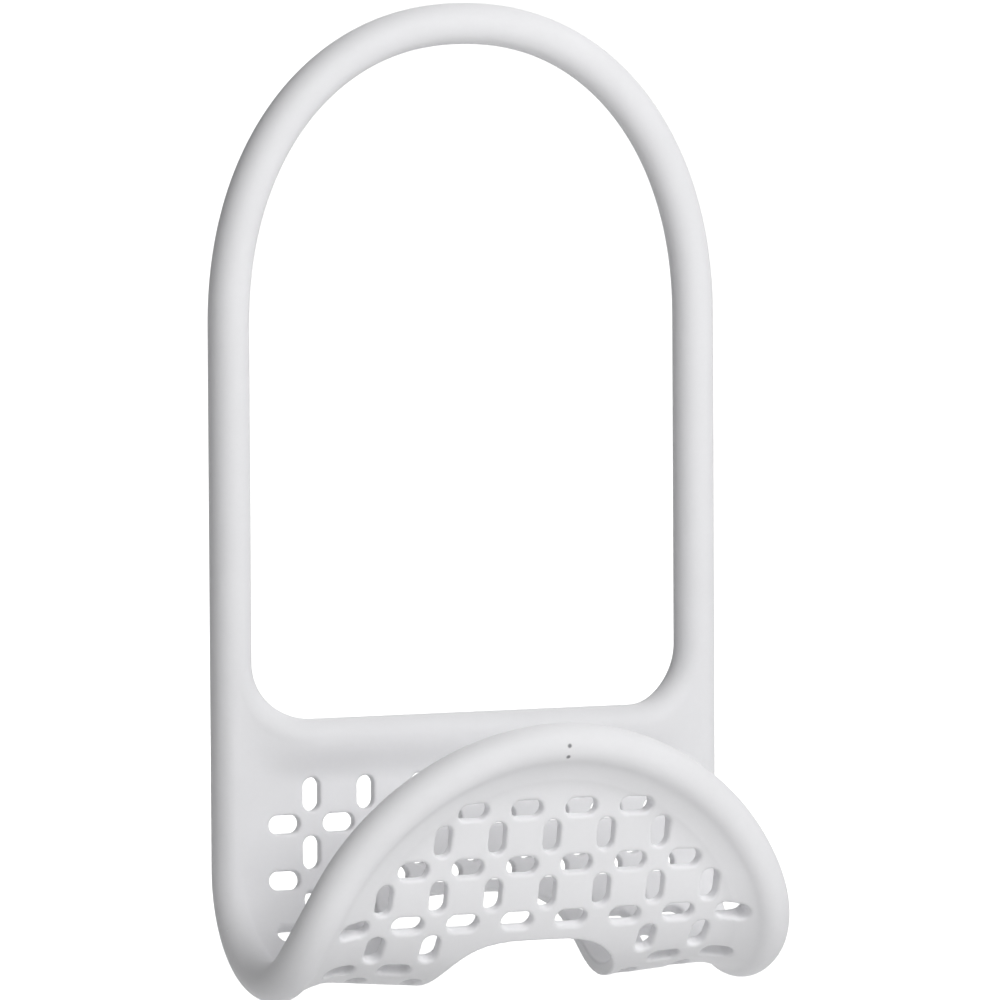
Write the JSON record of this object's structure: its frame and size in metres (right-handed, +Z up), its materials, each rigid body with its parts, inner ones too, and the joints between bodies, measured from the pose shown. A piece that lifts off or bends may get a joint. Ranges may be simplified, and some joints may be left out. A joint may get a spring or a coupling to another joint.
{
  "type": "faucet caddy",
  "caption": "Soft sling that hangs by a round loop from a tap and holds a sponge between a perforated back and a D-shaped front flap, with an oval drain opening.",
  "frame": {"origin": "underside of the loop's crown, on the middle plane, where the caddy rests on the tap", "axes": "+Z up along the legs, -Y towards the front flap, +X across to the right seen from the front"},
  "size_m": [0.1628, 0.0831, 0.2914],
  "materials": {
    "elastomer": "soft-touch matte, moulded"
  },
  "bodies": {
    "loop": {"loop_crown": "elastomer", "left_shoulder": "elastomer", "right_shoulder": "elastomer", "left_leg_upper_flex": "elastomer", "right_leg_upper_flex": "elastomer"},
    "leg_link": {"left_leg_link": "elastomer", "right_leg_link": "elastomer", "left_leg_lower_flex": "elastomer", "right_leg_lower_flex": "elastomer"},
    "back": {"left_back_rim": "elastomer", "right_back_rim": "elastomer", "crossbar": "elastomer", "back_panel": "elastomer", "left_heel_flex": "elastomer", "right_heel_flex": "elastomer"},
    "floor": {"left_floor": "elastomer", "right_floor": "elastomer", "left_toe_flex": "elastomer", "right_toe_flex": "elastomer"},
    "flap": {"front_panel": "elastomer", "front_rim": "elastomer"}
  },
  "joints": [
    {"name": "leg_bend_upper", "type": "hinge", "parent": "loop", "child": "leg_link", "pos_m": [0, 0, -0.10985], "axis": [1, 0, 0], "range_deg": [-20, 45], "stiffness_Nm_per_rad": 0.9, "deforming": ["left_leg_upper_flex", "right_leg_upper_flex"]},
    {"name": "leg_bend_lower", "type": "hinge", "parent": "leg_link", "child": "back", "pos_m": [0, 0, -0.15585], "axis": [1, 0, 0], "range_deg": [-20, 45], "stiffness_Nm_per_rad": 0.9, "deforming": ["left_leg_lower_flex", "right_leg_lower_flex"]},
    {"name": "heel_bend", "type": "hinge", "parent": "back", "child": "floor", "pos_m": [0, -0.00916, -0.26463], "axis": [1, 0, 0], "range_deg": [-12, 15], "stiffness_Nm_per_rad": 1, "deforming": ["left_heel_flex", "right_heel_flex"]},
    {"name": "toe_bend", "type": "hinge", "parent": "floor", "child": "flap", "pos_m": [0, -0.04587, -0.26851], "axis": [1, 0, 0], "range_deg": [-12, 15], "stiffness_Nm_per_rad": 1, "deforming": ["left_toe_flex", "right_toe_flex"]}
  ],
  "couplings": [
    {"joint": "leg_bend_lower", "follows": "leg_bend_upper", "ratio": 1},
    {"joint": "toe_bend", "follows": "heel_bend", "ratio": 1}
  ]
}
